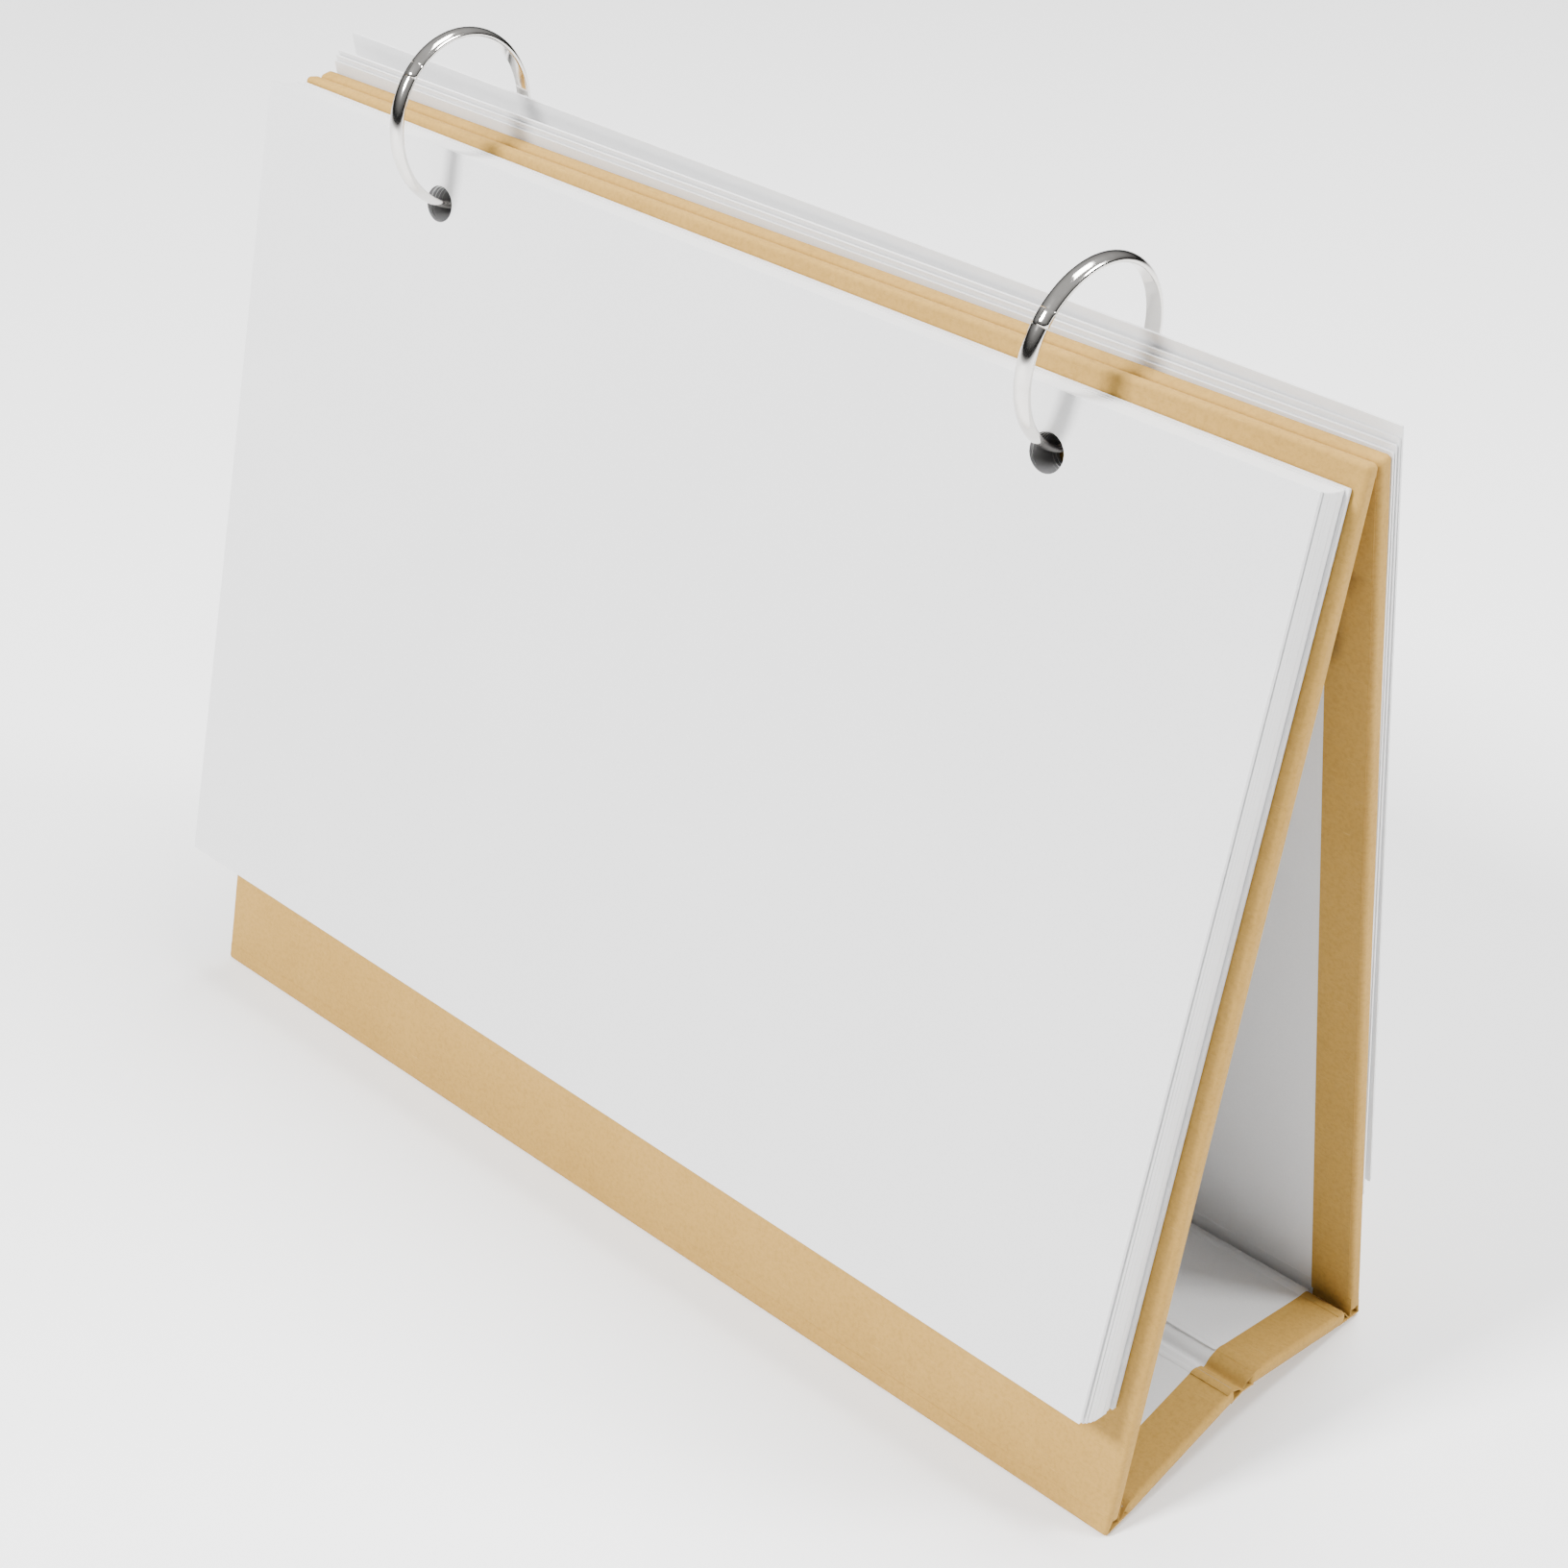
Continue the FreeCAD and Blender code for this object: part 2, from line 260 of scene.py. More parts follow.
def punched_triangles(outline, holes, step):
    """Triangles of a flat outline with round holes; its points come first, in order."""
    points = list(outline)
    loops = [list(range(len(points)))]
    for x, u, r in holes:
        first = len(points)
        points += [(x + r * math.cos(2 * math.pi * i / hole_points),
                    u + r * math.sin(2 * math.pi * i / hole_points))
                   for i in range(hole_points)]
        loops.append(list(range(first, len(points))))
    low_x, high_x = min(p[0] for p in outline), max(p[0] for p in outline)
    low_u, high_u = min(p[1] for p in outline), max(p[1] for p in outline)
    columns = max(2, round((high_x - low_x) / step))
    rows = max(2, round((high_u - low_u) / step))
    for i in range(1, columns):
        for j in range(1, rows):
            x = low_x + (high_x - low_x) * i / columns
            u = low_u + (high_u - low_u) * j / rows
            if all(math.hypot(x - hx, u - hu) > hr + 0.6 * MM for hx, hu, hr in holes):
                points.append((x, u))
    edges = [(a, b) for loop in loops for a, b in zip(loop, loop[1:] + loop[:1])]
    scale = 1000.0                       # the triangulation works best in millimetres
    made = delaunay_2d_cdt([Vector((x * scale, u * scale)) for x, u in points],
                           edges, [], 0, 1e-7)
    flat = [Vector((p.x / scale, p.y / scale)) for p in made[0]]
    kept = []
    for t in made[2]:
        x = sum(flat[i].x for i in t) / 3
        u = sum(flat[i].y for i in t) / 3
        if any(math.hypot(x - hx, u - hu) < hr for hx, hu, hr in holes):
            continue
        if inside(x, u, outline):
            kept.append(tuple(t))
    return flat, kept


def hole_rims(first, holes):
    """Index loops of the holes' points in punched_triangles, clockwise."""
    return [list(reversed(range(first + k * hole_points, first + (k + 1) * hole_points)))
            for k in range(len(holes))]


def all_rims(outline, holes):
    """Index loops of the outline and of its holes."""
    return [list(range(len(outline)))] + hole_rims(len(outline), holes)


def band(first, second):
    """Quads between two closed loops of the same length."""
    count = len(first)
    return [(first[i], second[i], second[(i + 1) % count], first[(i + 1) % count])
            for i in range(count)]


def tube(rows):
    """Faces of a closed tube through rows of point indices, with both ends capped."""
    faces = []
    for a, b in zip(rows, rows[1:]):
        faces += band(a, b)
    return faces + [tuple(reversed(rows[0])), tuple(rows[-1])]


def sheet_mesh(place, flat, triangles, n_inner, n_outer, loops):
    """Closed thin sheet; place(x, u, n) puts each point, loops are its rims."""
    count = len(flat)
    points = [place(p.x, p.y, n_outer) for p in flat]
    points += [place(p.x, p.y, n_inner) for p in flat]
    faces = list(triangles)
    faces += [tuple(i + count for i in reversed(f)) for f in triangles]
    for loop in loops:
        faces += [(a, b, b + count, a + count) for a, b in zip(loop, loop[1:] + loop[:1])]
    return points, faces


def smooth_curve(corners, steps):
    """Catmull-Rom curve through the corners of a section, with steps points for each span."""
    padded = [corners[0]] + list(corners) + [corners[-1]]
    curve = []
    for p0, p1, p2, p3 in zip(padded, padded[1:], padded[2:], padded[3:]):
        for k in range(steps):
            t = k / steps
            curve.append(tuple(
                0.5 * (2 * b + (c - a) * t + (2 * a - 5 * b + 4 * c - d) * t * t
                       + (3 * b - a - 3 * c + d) * t ** 3)
                for a, b, c, d in zip(p0, p1, p2, p3)))
    curve.append(tuple(corners[-1]))
    return curve


def curve_normals(curve):
    """Left-hand normal at each point of a curve."""
    normals = []
    for i in range(len(curve)):
        ay, az = curve[max(0, i - 1)]
        by, bz = curve[min(len(curve) - 1, i + 1)]
        length = math.hypot(by - ay, bz - az) or 1.0
        normals.append((-(bz - az) / length, (by - ay) / length))
    return normals


# --- Materials --------------------------------------------------------------
class Nodes:
    """Small helper to build a node material in plain words."""

    def __init__(self, name):
        self.material = bpy.data.materials.new(name)
        self.material.use_nodes = True
        self.tree = self.material.node_tree
        self.shader = self.tree.nodes["Principled BSDF"]
        self.coordinates = self.tree.nodes.new("ShaderNodeTexCoord").outputs["Object"]

    def link(self, source, target):
        self.tree.links.new(source, target)
        return target

    def mapping(self, scale, rotation=(0, 0, 0)):
        node = self.tree.nodes.new("ShaderNodeMapping")
        node.inputs["Scale"].default_value = scale
        node.inputs["Rotation"].default_value = rotation
        self.link(self.coordinates, node.inputs["Vector"])
        return node.outputs["Vector"]

    def noise(self, scale, detail=4, roughness=0.55, vector=None, distortion=0):
        node = self.tree.nodes.new("ShaderNodeTexNoise")
        node.inputs["Scale"].default_value = scale
        node.inputs["Detail"].default_value = detail
        node.inputs["Roughness"].default_value = roughness
        node.inputs["Distortion"].default_value = distortion
        self.link(vector or self.coordinates, node.inputs["Vector"])
        return node.outputs["Fac"]

    def ramp(self, value, stops):
        node = self.tree.nodes.new("ShaderNodeValToRGB")
        elements = node.color_ramp.elements
        while len(elements) < len(stops):
            elements.new(0.5)
        for element, (position, colour) in zip(elements, stops):
            element.position = position
            element.color = (*colour, 1)
        self.link(value, node.inputs["Fac"])
        return node.outputs["Color"]

    def mix(self, factor, a, b, kind="MIX"):
        node = self.tree.nodes.new("ShaderNodeMix")
        node.data_type = "RGBA"
        node.blend_type = kind
        sockets = [s for s in node.inputs if s.type == "RGBA"]
        for value, socket in ((a, sockets[0]), (b, sockets[1])):
            if isinstance(value, tuple):
                socket.default_value = (*value, 1)
            else:
                self.link(value, socket)
        if isinstance(factor, float):
            node.inputs["Factor"].default_value = factor
        else:
            self.link(factor, node.inputs["Factor"])
        return [s for s in node.outputs if s.type == "RGBA"][0]

    def math(self, operation, a, b=None):
        node = self.tree.nodes.new("ShaderNodeMath")
        node.operation = operation
        for value, socket in zip((a, b), node.inputs):
            if value is None:
                continue
            if isinstance(value, (int, float)):
                socket.default_value = value
            else:
                self.link(value, socket)
        return node.outputs["Value"]

    def bump(self, height, strength, distance):
        node = self.tree.nodes.new("ShaderNodeBump")
        node.inputs["Strength"].default_value = strength
        node.inputs["Distance"].default_value = distance
        self.link(height, node.inputs["Height"])
        self.link(node.outputs["Normal"], self.shader.inputs["Normal"])


def fibres(nodes, length, width, turns):
    """Fine random strokes: stretched noise laid in several directions."""
    total = None
    for turn in turns:
        vector = nodes.mapping((1 / length, 1 / width, 1 / width), (0.4 * turn, turn, turn))
        strokes = nodes.noise(1.0, 2, 0.5, vector, 0.6)
        total = strokes if total is None else nodes.math("MAXIMUM", total, strokes)
    return total


def kraft_paper():
    nodes = Nodes("kraft_paper")
    cloud = nodes.noise(38, 5, 0.6)
    speck = nodes.noise(1500, 3, 0.7)
    strokes = fibres(nodes, 3.2 * MM, 0.22 * MM, (0.3, 1.2, 2.3))
    tone = nodes.ramp(cloud, [(0.3, (0.382, 0.222, 0.047)), (0.7, (0.420, 0.249, 0.058))])
    fleck = nodes.ramp(speck, [(0.36, (0.82, 0.80, 0.76)), (0.5, (1.0, 1.0, 1.0)),
                               (0.66, (1.12, 1.12, 1.1))])
    tone = nodes.mix(0.55, tone, fleck, "MULTIPLY")
    light = nodes.ramp(strokes, [(0.66, (0.0, 0.0, 0.0)), (0.8, (1.0, 1.0, 1.0))])
    tone = nodes.mix(nodes.math("MULTIPLY", light, 0.35), tone, (0.54, 0.36, 0.11))
    nodes.link(tone, nodes.shader.inputs["Base Color"])
    nodes.shader.inputs["Roughness"].default_value = 0.82
    nodes.shader.inputs["Specular IOR Level"].default_value = 0.25
    height = nodes.math("ADD", nodes.math("MULTIPLY", speck, 0.5), strokes)
    nodes.bump(height, 0.25, 0.00005)
    return nodes.material


def white_paper(name, low, high, roughness):
    nodes = Nodes(name)
    cloud = nodes.noise(22, 3, 0.5)
    tooth = nodes.noise(2600, 3, 0.6)
    tone = nodes.ramp(cloud, [(0.3, low), (0.7, high)])
    fleck = nodes.ramp(tooth, [(0.35, (0.965, 0.965, 0.965)), (0.65, (1.0, 1.0, 1.0))])
    nodes.link(nodes.mix(1.0, tone, fleck, "MULTIPLY"), nodes.shader.inputs["Base Color"])
    nodes.shader.inputs["Roughness"].default_value = roughness
    nodes.shader.inputs["Specular IOR Level"].default_value = 0.3
    nodes.bump(tooth, 0.18, 0.00003)
    return nodes.material


def grey_board():
    nodes = Nodes("grey_board")
    layers = nodes.noise(1.0, 3, 0.6, nodes.mapping((150, 4500, 4500)))
    tone = nodes.ramp(layers, [(0.3, (0.20, 0.175, 0.15)), (0.7, (0.34, 0.31, 0.28))])
    nodes.link(tone, nodes.shader.inputs["Base Color"])
    nodes.shader.inputs["Roughness"].default_value = 0.9
    nodes.bump(layers, 0.5, 0.0001)
    return nodes.material


def ring_metal():
    nodes = Nodes("ring_metal")
    haze = nodes.noise(420, 3, 0.6)
    tone = nodes.ramp(haze, [(0.3, (0.68, 0.655, 0.62)), (0.7, (0.74, 0.72, 0.69))])
    nodes.link(tone, nodes.shader.inputs["Base Color"])
    nodes.shader.inputs["Metallic"].default_value = 1.0
    rough = nodes.ramp(haze, [(0.35, (0.08, 0.08, 0.08)), (0.7, (0.14, 0.14, 0.14))])
    nodes.link(rough, nodes.shader.inputs["Roughness"])
    nodes.bump(nodes.noise(1.0, 2, 0.5, nodes.mapping((9000, 900, 900))), 0.05, 0.00002)
    return nodes.material


kraft = kraft_paper()
leaf_paper = white_paper("leaf_paper", (0.74, 0.742, 0.745), (0.77, 0.77, 0.772), 0.55)
# The liner paper is a little darker than the leaf paper: painted shade for the inside of the
# stand, where the liners lie.
liner_paper = white_paper("liner_paper", (0.66, 0.662, 0.665), (0.69, 0.69, 0.692), 0.6)
board = grey_board()
# Nearly black paper for the walls of the punched holes: painted shade of the deep holes, and on
# the boards also their grey cut core.
hole_shade_and_cut_core = white_paper("hole_shade_and_cut_core", (0.19, 0.19, 0.195), (0.25, 0.248, 0.25), 0.8)
metal = ring_metal()


def shade_holes(made, first, count=None):
    """Painted shade: punched walls are painted nearly black for the shade deep in the holes (on
    boards also for their grey cut core); faces from first on get that material.
    """
    made.data.materials.append(hole_shade_and_cut_core)
    last = len(made.data.polygons) if count is None else first + count
    for polygon in made.data.polygons[first:last]:
        polygon.material_index = 1


# --- Stand ------------------------------------------------------------------
def slab(name, board_node, wrap_node, body, outward, ends):
    """Wrapped board with rounded edges; ends are the wrap past each end along u."""
    plate = Plate(board_node, outward)
    side = wrap_thickness + side_swell
    x_span = (plate.x[0] - side, plate.x[1] + side)
    u_span = (plate.u[0] - ends[0], plate.u[1] + ends[1])
    outer, inner = plate.n[1] + wrap_thickness, plate.n[0] - wrap_thickness
    holes = [(x, u, r + board_hole_margin) for x, u, r in plate.holes()]
    outline = rounded_rectangle(x_span, u_span, corner_radius, outline_step)
    inset = [(x - edge_radius * nx, u - edge_radius * nu) for x, u, nx, nu in outline]
    flat, triangles = punched_triangles(inset, holes, board_grid)
    wave = smooth_noise(name, 0.12)

    def place(x, u, n):
        return plate.at(x, u, n + board_wave * wave(x, u))

    rims = hole_rims(len(inset), holes)
    points, faces = sheet_mesh(place, flat, triangles, inner, outer, rims)
    # Round the outside from the outer face to the inner one.
    steps = [math.radians(a) for a in (22.5, 45, 67.5, 90)]
    profile = [(math.sin(a), outer - edge_radius * (1 - math.cos(a))) for a in steps]
    profile += [(math.sin(a), inner + edge_radius * (1 - math.cos(a))) for a in reversed(steps)]
    previous = list(range(len(inset)))
    for reach, n in profile:
        ring = list(range(len(points), len(points) + len(outline)))
        for (ix, iu), (_, _, nx, nu) in zip(inset, outline):
            grow = edge_radius * reach
            points.append(place(ix + nx * grow, iu + nu * grow, n))
        faces += band(previous, ring)
        previous = ring
    faces += band(previous, list(range(len(flat), len(flat) + len(inset))))
    made = new_object(name, points, faces, kraft, 50)
    # The hole walls get the dark paper: painted shade, and the board's grey cut core.
    shade_holes(made, len(triangles) * 2, len(rims) * hole_points)
    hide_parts(wrap_node)
    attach(made, body)
    return plate, inner


def lining(name, liner_node, plate, surface, body):
    """White sheet glued inside the turned-in margins."""
    liner = Plate(liner_node, plate.normal)
    holes = liner.holes()
    outline = rounded_rectangle(liner.x, liner.u, liner_corner_radius, outline_step)
    flat, triangles = punched_triangles([(x, u) for x, u, _, _ in outline], holes, board_grid)
    points, faces = sheet_mesh(liner.at, flat, triangles, surface - liner_thickness,
                               surface + liner_depth, all_rims(outline, holes))
    made = new_object(name, points, faces, liner_paper)
    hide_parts(liner_node)
    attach(made, body)


def mitred_margin(name, plate, surface, x_side, body):
    """Turned-in flap: the long side strip lies over the end of the top strip."""
    half = panel_half - edge_radius
    top = plate.u[1] + wrap_thickness + top_swell - edge_radius
    width = turn_in_width + 0.8 * MM - edge_radius
    low = plate.u[0] + 0.5 * MM
    local = random.Random(name)
    outline = [(half, low), (half, top - 0.6 * MM), (half - 0.9 * MM, top - 0.9 * MM)]
    steps = 5
    for k in range(1, steps + 1):
        ragged = local.uniform(-1, 1) * margin_ragged
        outline.append((half - width * k / steps + ragged, top - width * k / steps))
    outline.append((half - width, low))
    outline = [(x * x_side, u) for x, u in outline]
    if x_side < 0:
        outline.reverse()
    fine = subdivided(outline, 6 * MM)
    flat, triangles = punched_triangles(fine, [], 8 * MM)
    points, faces = sheet_mesh(plate.at, flat, triangles, surface - margin_thickness,
                               surface + margin_depth, all_rims(fine, []))
    made = new_object(name, points, faces, kraft)
    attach(made, body)


def fold_strip(name, section, thickness, ends, nodes=(), two_tone=False,
               rounded=False):
    """Paper over a fold: the section (y, z) drawn along X."""
    half = panel_half if rounded else panel_half - 0.12 * MM
    stations = [-half, -liner_half, liner_half, half] if two_tone else [-half, half]
    xs = []
    for a, b in zip(stations, stations[1:]):
        count = max(1, round((b - a) / (7 * MM)))
        xs += [a + (b - a) * i / count for i in range(count)]
    xs.append(half)
    steps = (0.1 * MM, 0.25 * MM, 0.5 * MM, 0.75 * MM) if rounded else ()
    xs = sorted(set(xs) | {half - d for d in steps} | {d - half for d in steps})
    wave = smooth_noise(name, 0.05)
    normals = curve_normals(section)
    last = len(section) - 1
    rows, points = [], []
    for x in xs:
        first = len(points)
        short = max(0.0, edge_radius - (half - abs(x)))
        inset = (edge_radius - math.sqrt(edge_radius ** 2 - short ** 2)) if rounded else 0.0
        inset = min(inset, abs(thickness) * 0.9) * math.copysign(1, thickness)
        for k, ((y, z), (ny, nz)) in enumerate(zip(section, normals)):
            bulge = 0.02 * MM * wave(x, 8 * y) * math.sin(math.pi * k / last) - inset
            points.append(Vector((x, y + ny * bulge, z + nz * bulge)))
        for (y, z), (ny, nz) in reversed(list(zip(section, normals))):
            points.append(Vector((x, y - ny * thickness, z - nz * thickness)))
        rows.append(list(range(first, len(points))))
    made = new_object(name, points, tube(rows), kraft, 60)
    if two_tone:
        made.data.materials.append(liner_paper)
        for polygon in made.data.polygons:
            if abs(polygon.center.x) < liner_half:
                polygon.material_index = 1
    if nodes:
        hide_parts(*nodes)
    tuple(ends[0])
    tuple(ends[1])
    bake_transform(made)


def meeting(first, second, inset):
    """Point on both outer planes of two wrapped boards, moved in by inset."""
    a, b = first.normal, second.normal
    p = first.n[1] + wrap_thickness - inset
    q = second.n[1] + wrap_thickness - inset
    scale = a.y * b.z - a.z * b.y
    return Vector((0, (p * b.z - q * a.z) / scale, (a.y * q - b.y * p) / scale))


def flat_point(plate, u, n):
    point = plate.at(0, u, n)
    return point.y, point.z


def foot_fold(name, panel, base, toward_middle, crease):
    """Outer kraft rolled round a foot, and the lining pressed into its inner corner."""
    outer_panel, outer_base = panel.n[1] + wrap_thickness, base.n[1] + wrap_thickness
    inner_panel, inner_base = panel.n[0] - wrap_thickness, base.n[0] - wrap_thickness
    base_start = base.u[0] if toward_middle > 0 else base.u[1]
    proud = 0.02 * MM
    centre = meeting(panel, base, foot_radius)
    start_angle = math.atan2(panel.normal.z, panel.normal.y)
    end_angle = math.atan2(base.normal.z, base.normal.y)
    turn = (end_angle - start_angle + math.pi) % (2 * math.pi) - math.pi
    lap = 1.2 * MM                       # the strip runs on this far over each board
    reach = foot_radius + proud
    arc_steps = 8
    section = [flat_point(panel, panel.u[0] + lap, outer_panel + proud)]
    for k in range(arc_steps + 1):
        a = start_angle + turn * k / arc_steps
        section.append((centre.y + reach * math.cos(a),
                        max(centre.z + reach * math.sin(a), 0.0)))
    section.append(flat_point(base, base_start + lap * toward_middle, outer_base + proud))
    away = -foot_paper * toward_middle
    start, end = panel.at(0, panel.u[0], outer_panel), base.at(0, base_start, outer_base)
    fold_strip(name + "_kraft", section, away, (start, end), [crease], rounded=True)
    # The lining's section, from the panel down to the bottom of the fold and up to the base.
    deep = 0.5 * MM
    middle = base.at(0, base_start - 1.6 * MM * toward_middle, outer_base - wrap_thickness - deep)
    corners = [flat_point(panel, panel.u[0] + 3.4 * MM, inner_panel - 0.10 * MM),
               flat_point(panel, panel.u[0] + 1.5 * MM, inner_panel - 0.06 * MM),
               (middle.y, middle.z),
               flat_point(base, base_start + 0.7 * MM * toward_middle,
                          inner_base - 0.06 * MM),
               flat_point(base, base_start + 2.6 * MM * toward_middle,
                          inner_base - 0.10 * MM)]
    fold_strip(name + "_lining", smooth_curve(corners, 4), lining_paper * toward_middle,
               (panel.at(0, panel.u[0] + 1.5 * MM, inner_panel),
                base.at(0, base_start + 0.7 * MM * toward_middle, inner_base)),
               two_tone=True)


def middle_fold(front, back):
    """Kraft under the middle of the base, and the lining that dips between its halves."""
    outer, inner = front.n[1] + wrap_thickness, front.n[0] - wrap_thickness
    front_end, back_end = front.u[1], back.u[0]
    peak = meeting(front, back, 0)
    under = [flat_point(front, front_end - 1.0 * MM, outer + 0.02 * MM),
             flat_point(front, front_end + 0.5 * MM, outer + 0.02 * MM),
             (peak.y, peak.z + 0.03 * MM),
             flat_point(back, back_end - 0.5 * MM, outer + 0.02 * MM),
             flat_point(back, back_end + 1.0 * MM, outer + 0.02 * MM)]
    ends = (front.at(0, front_end, inner), back.at(0, back_end, inner))
    fold_strip("middle_fold_kraft", under, -wrap_thickness, ends, ["middle_crease"])
    low = peak.z + wrap_thickness + 0.25 * MM
    over = [flat_point(front, front_end - 1.7 * MM, inner - 0.10 * MM),
            flat_point(front, front_end - 0.7 * MM, inner - 0.05 * MM),
            (peak.y - 1.1 * MM, low + 0.75 * MM),
            (peak.y - 0.2 * MM, low),
            (peak.y + 1.2 * MM, low + 1.0 * MM),
            flat_point(back, back_end + 0.9 * MM, inner - 0.07 * MM),
            flat_point(back, back_end + 2.2 * MM, inner - 0.08 * MM),
            flat_point(back, back_end + 2.6 * MM, inner - 0.02 * MM)]
    fold_strip("middle_fold_lining", smooth_curve(over, 5), lining_paper, ends,
               two_tone=True)


def repaint(node, material):
    mesh = frame["nodes"][node].data
    mesh.materials.clear()
    mesh.materials.append(material)


def stand():
    out_front, out_back, down = (0, -1, 0.2), (0, 1, 0.2), (0, 0, -1)
    panels = {}
    for side, outward in (("front", out_front), ("back", out_back)):
        body = side + "_panel"
        plate, inner = slab(body + "_wrapped", body + "_board", body + "_kraft_wrap", body,
                            outward, (0, wrap_thickness + top_swell))
        lining(body + "_lining", body + "_liner", plate, inner, body)
        for x_side, end in ((-1, "left"), (1, "right")):
            mitred_margin("%s_margin_%s" % (body, end), plate, inner, x_side, body)
        panels[side] = plate
    bases = {}
    for side in ("front", "back"):
        body = "base_" + side
        plate, inner = slab(body + "_wrapped", body + "_board", body + "_kraft_wrap", body,
                            down, (0, 0))
        lining(body + "_lining", body + "_liner", plate, inner, body)
        bases[side] = plate
    foot_fold("front_foot", panels["front"], bases["front"], 1,
              "front_foot_crease")
    foot_fold("back_foot", panels["back"], bases["back"], -1,
              "back_foot_crease")
    middle_fold(bases["front"], bases["back"])
    for node in frame["nodes"]:
        if node.endswith("_board"):
            repaint(node, board)


# --- Leaves -----------------------------------------------------------------
def leaf(node, body, outward, thickness, shift, turn, bow, trim=(0, 0, 0)):
    """A punched leaf. shift = (x, u, n); trim = (sides, foot, top), all in metres.

    bow(x, v, outer) lifts the outer or inner face, v from 0 at the top to 1 at the foot.
    """
    plate = Plate(node, outward)
    middle = (plate.n[0] + plate.n[1]) / 2 + shift[2]
    holes = [(x, u + shift[1], leaf_hole_radius) for x, u, _ in plate.holes()]
    x_span = (plate.x[0] + shift[0] + trim[0], plate.x[1] + shift[0] - trim[0])
    u_span = (plate.u[0] + shift[1] + trim[1], plate.u[1] + shift[1] - trim[2])
    pivot_u = holes[0][1]
    outline = rounded_rectangle(x_span, u_span, leaf_corner_radius, leaf_grid)
    flat, triangles = punched_triangles([(x, u) for x, u, _, _ in outline], holes, leaf_grid)
    sine, cosine = math.sin(turn), math.cos(turn)

    def place(x, u, n):
        v = min(1.0, max(0.0, (u_span[1] - u) / (u_span[1] - u_span[0])))
        drop = u - pivot_u
        return plate.at(x * cosine - drop * sine, pivot_u + x * sine + drop * cosine,
                        middle + n + bow(x, v, n > 0))

    points, faces = sheet_mesh(place, flat, triangles, -thickness / 2, thickness / 2,
                               all_rims(outline, holes))
    made = new_object(node + "_paper", points, faces, leaf_paper, 40)
    # The walls of the leaf's holes get the dark paper: painted shade deep in the holes.
    shade_holes(made, len(triangles) * 2 + len(outline))
    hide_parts(node)
    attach(made, body)


def front_leaves():
    """The thick front stack: a close block, with a few outer leaves standing apart."""
    wave = smooth_noise("front stack", 0.2)
    flares = [front_flare * (number / front_leaf_count) ** 1.6
              for number in range(front_leaf_count + 1)]
    for number in range(1, front_leaf_count + 1):
        share = number / front_leaf_count
        in_block = 2 < number <= front_leaf_count - 2
        inner_flare = flares[number - 1] if in_block else flares[number]
        thickness = front_block_sheet if in_block else front_leaf_sheet
        lower = -front_belly * math.sin(math.pi * min(1, share * 1.02))
        uneven = 0.03 * MM if in_block else 0.12 * MM
        aside = rng.uniform(-1, 1) * uneven
        proud = 0.0
        if number == 1:
            aside = 0.45 * MM
        if number == front_leaf_count:
            aside, proud = -0.1 * MM, 0.12 * MM
        shift = (front_shift + aside, 0.0, proud)

        def bow(x, v, outer, flares=(inner_flare, flares[number]), share=share):
            return flares[outer] * v ** 1.4 + 0.10 * MM * share * wave(x, v * 0.14)

        name = "front_leaf_%d" % number
        leaf(name, name, (0, -1, 0.2), thickness, shift, front_turn, bow,
             (front_side_trim, lower, front_top_trim))


def back_leaves():
    """Leaves already turned over: three lie on the panel, the last stands off at the left."""
    wave = smooth_noise("back stack", 0.2)
    for number, (down, close) in enumerate(zip(back_down, back_close), start=1):
        loose = number == len(back_down)

        def bow(x, v, outer, loose=loose):
            aside = -x / panel_half * 1.55 * MM * (1 - 0.65 * v) - 0.1 * MM if loose else 0.0
            away = 0.5 * MM if loose else 0.15 * MM
            return aside + away * v ** 1.5 + 0.03 * MM * wave(x, v * 0.14)

        name = "back_leaf_%d" % number
        shift = (0.5 * MM + 0.12 * MM * number, down * MM, close * MM)
        leaf(name, name, (0, 1, 0.2), back_leaf_sheet, shift, back_turn, bow, back_trim)


# --- Rings ------------------------------------------------------------------
def ring_section(side):
    """Points (x, r) of the wire's section; side -1 or 1 keeps that half only."""
    half, inner = ring_section_width / 2, ring_radius - ring_section_height / 2
    dome = ring_section_height - ring_shoulder
    dome_steps = 16
    edge = []                                            # rounded inner edge at +X
    for k in range(corner_steps + 1):
        a = math.radians(90 * k / corner_steps)
        edge.append((half - ring_shoulder + ring_shoulder * math.sin(a),
                     inner + ring_shoulder * (1 - math.cos(a))))
    points = list(edge)
    for k in range(1, dome_steps):                       # domed outside
        a = math.radians(180 * k / dome_steps)
        points.append((half * math.cos(a), inner + ring_shoulder + dome * math.sin(a)))
    points += [(-x, r) for x, r in reversed(edge)]
    if side:
        gap = halves_gap * side
        points = [(max(x, gap) if side > 0 else min(x, gap), r) for x, r in points]
    return points


def swept(section, start, end, soften=0.0):
    """Closed sweep of a section about X, from one angle to another, in degrees."""
    steps = max(2, round(abs(end - start) / 3))
    points, rows = [], []
    angles = [start + (end - start) * i / steps for i in range(steps + 1)]
    scales = [1.0] * len(angles)
    if soften:
        nick = math.degrees(soften / ring_radius)
        angles = [start, start + nick] + angles[1:-1] + [end - nick, end]
        scales = [0.86] + [1.0] * (len(angles) - 2) + [0.86]
    middle_x = sum(x for x, _ in section) / len(section)
    for angle, scale in zip(angles, scales):
        a = math.radians(angle)
        first = len(points)
        for x, r in section:
            reach = ring_radius + (r - ring_radius) * scale
            points.append(Vector((middle_x + (x - middle_x) * scale,
                                  reach * math.cos(a), reach * math.sin(a))))
        rows.append(list(range(first, len(points))))
    return points, tube(rows[::-1])


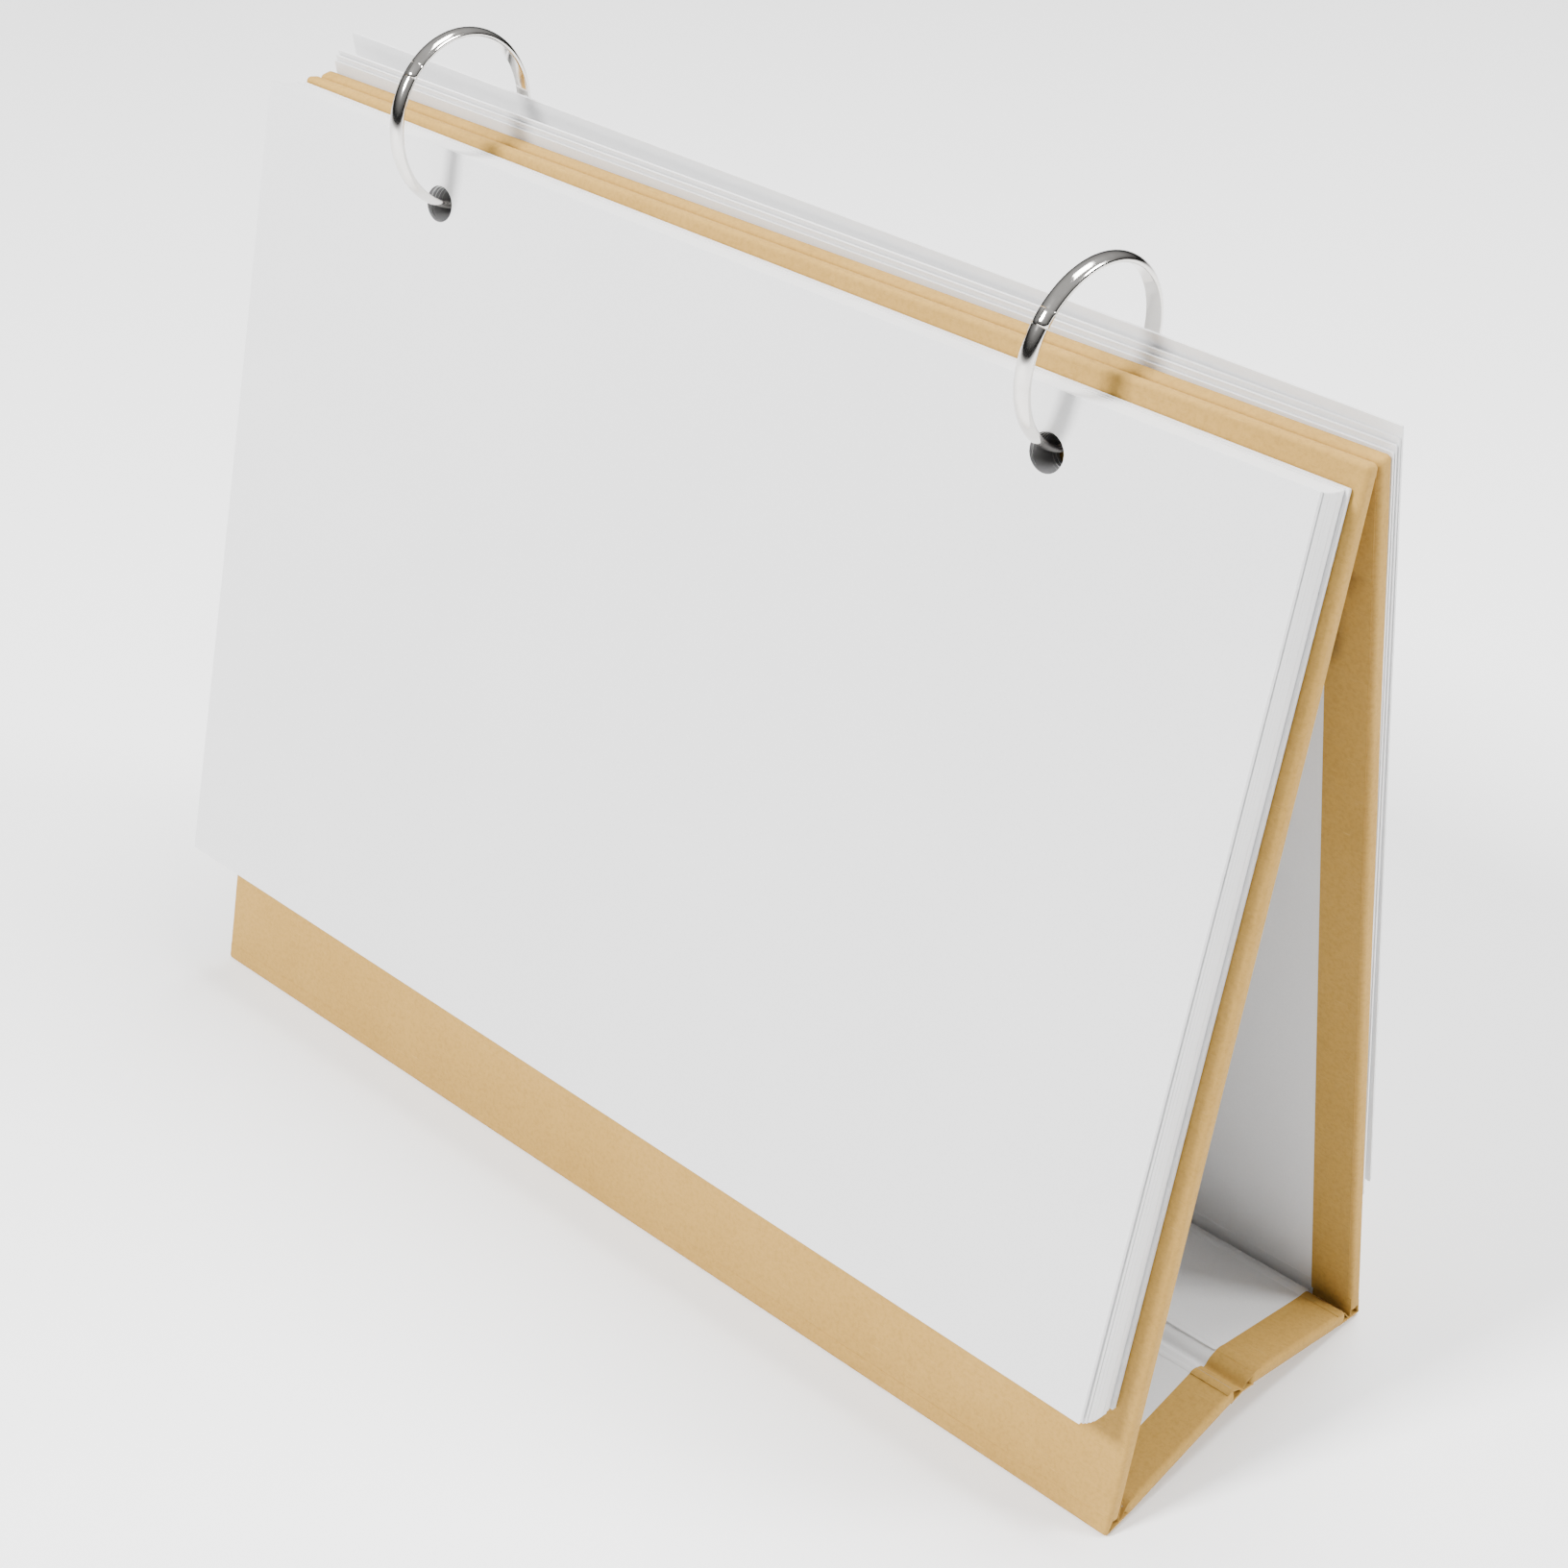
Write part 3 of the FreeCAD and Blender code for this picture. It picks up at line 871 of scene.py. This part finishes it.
def drum(radius, x_low, x_high, centre, chamfer):
    """Short cylinder along X with chamfered ends."""
    rows, points = [], []
    for x, r in ((x_low, radius - chamfer), (x_low + chamfer, radius),
                 (x_high - chamfer, radius), (x_high, radius - chamfer)):
        first = len(points)
        for k in range(hole_points):
            a = 2 * math.pi * k / hole_points
            points.append(Vector((x, centre.y + r * math.cos(a), centre.z + r * math.sin(a))))
        rows.append(list(range(first, len(points))))
    return points, tube(rows)


def joined(*parts):
    """Points and faces of several closed meshes as one."""
    points, faces = [], []
    for part_points, part_faces in parts:
        shift = len(points)
        points += part_points
        faces += [tuple(i + shift for i in face) for face in part_faces]
    return points, faces


def ring(side):
    """The two halves of a snap ring and the pin of their pivot."""
    low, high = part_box(side + "_ring_lower")
    turn = next(j for j in frame["joints"] if j["name"] == side + "_ring_turn")
    x = (low[0] + high[0]) / 2
    centre = Vector((x, turn["pos_m"][1], turn["pos_m"][2])) + ring_offset[side]
    lean = Matrix.Rotation(math.radians(ring_yaw[side]), 4, "Z") \
        @ Matrix.Rotation(math.radians(ring_tilt[side]), 4, "Y")
    clasp = clasp_angle[side]
    neck = math.degrees(knuckle_radius / ring_radius)
    hinge = Vector((0, ring_radius * math.cos(math.radians(pivot_angle)),
                    ring_radius * math.sin(math.radians(pivot_angle))))
    half = ring_section_width / 2
    eye_gap, eye_chamfer, head_chamfer = 0.03 * MM, 0.12 * MM, 0.08 * MM
    step_low, step_high = clasp - clasp_step, clasp + clasp_step
    pivot_end = pivot_angle + 360
    upper = joined(
        swept(ring_section(0), pivot_angle + neck, step_low),
        swept(ring_section(1), step_low - halves_overlap, step_high, clasp_nick),
        swept(ring_section(1), pivot_angle, pivot_angle + neck + halves_overlap),
        drum(knuckle_radius, eye_gap, half, hinge, eye_chamfer))
    lower = joined(
        swept(ring_section(0), step_high + clasp_gap, pivot_end - neck),
        swept(ring_section(-1), step_low + clasp_gap, step_high + clasp_gap + halves_overlap,
              clasp_nick),
        swept(ring_section(-1), pivot_end - neck - halves_overlap, pivot_end),
        drum(knuckle_radius, -half, -eye_gap, hinge, eye_chamfer))
    pin = joined(
        drum(pin_head_radius, -half - 0.2 * MM, -half + 0.05 * MM, hinge, head_chamfer),
        drum(pin_radius, -half, half + 0.1 * MM, hinge, 0.02 * MM),
        drum(pin_head_radius, half + 0.03 * MM, half + 0.24 * MM, hinge, head_chamfer))
    for name, (points, faces), rider in (("upper", upper, "upper"), ("lower", lower, "lower"),
                                         ("pin", pin, "lower")):
        node, body = side + "_ring_" + name, side + "_ring_" + rider
        made = new_object(node + "_wire", [centre + lean @ p for p in points], faces,
                          metal, 42)
        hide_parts(node)
        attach(made, body)


# --- Stage ------------------------------------------------------------------
def area_light(name, place, size, power):
    data = bpy.data.lights.new(name, "AREA")
    data.shape = "RECTANGLE"
    data.size, data.size_y = size
    data.energy = power
    made = bpy.data.objects.new(name, data)
    made.location = place
    made.rotation_euler = (camera_target - Vector(place)).to_track_quat("-Z", "Y").to_euler()
    bpy.context.scene.collection.objects.link(made)


def stage_and_light():
    mesh = bpy.data.meshes.new("floor")
    reach, level = 6.0, -0.2 * MM
    mesh.from_pydata([(-reach, -reach, level), (reach, -reach, level),
                      (reach, reach, level), (-reach, reach, level)], [], [(0, 1, 2, 3)])
    floor = bpy.data.objects.new("floor", mesh)
    bpy.context.scene.collection.objects.link(floor)
    plain = Nodes("floor")
    plain.shader.inputs["Base Color"].default_value = (0.97, 0.97, 0.97, 1)
    plain.shader.inputs["Roughness"].default_value = 0.9
    mesh.materials.append(plain.material)
    studio_world()
    area_light("key", (-0.30, -1.1, 1.15), (0.28, 0.28), 55)
    area_light("top", (0.05, 0.35, 1.5), (0.8, 0.6), 34)
    area_light("side", (1.2, 0.75, 1.0), (0.5, 0.5), 30)


def studio_world():
    """Bright overhead and dark towards the horizon, which gives the wire its dark bands."""
    world = bpy.data.worlds.new("studio")
    world.use_nodes = True
    tree = world.node_tree
    direction = tree.nodes.new("ShaderNodeTexCoord").outputs["Generated"]
    split = tree.nodes.new("ShaderNodeSeparateXYZ")
    tree.links.new(direction, split.inputs["Vector"])
    ramp = tree.nodes.new("ShaderNodeValToRGB")
    elements = ramp.color_ramp.elements
    elements.new(0.3)
    for element, (height, grey) in zip(elements, ((0.12, 0.03), (0.42, 0.55), (0.8, 1.0))):
        element.position = height
        element.color = (grey, grey, grey, 1)
    tree.links.new(split.outputs["Z"], ramp.inputs["Fac"])
    background = tree.nodes["Background"]
    tree.links.new(ramp.outputs["Color"], background.inputs["Color"])
    background.inputs["Strength"].default_value = 0.6
    bpy.context.scene.world = world


def camera():
    data = bpy.data.cameras.new("camera")
    data.lens = camera_lens
    data.sensor_width = 36
    data.shift_x, data.shift_y = camera_shift
    data.clip_start, data.clip_end = 0.01, 50
    made = bpy.data.objects.new("camera", data)
    azimuth, elevation = math.radians(camera_azimuth), math.radians(camera_elevation)
    back = Vector((math.sin(azimuth) * math.cos(elevation),
                   -math.cos(azimuth) * math.cos(elevation), math.sin(elevation)))
    made.location = camera_target + camera_distance * back
    level = back.to_track_quat("Z", "Y").to_matrix()
    made.rotation_euler = (level @ Matrix.Rotation(math.radians(camera_roll), 3, "Z")).to_euler()
    bpy.context.scene.collection.objects.link(made)
    bpy.context.scene.camera = made


stand()
front_leaves()
back_leaves()
ring("left")
ring("right")
stage_and_light()
camera()
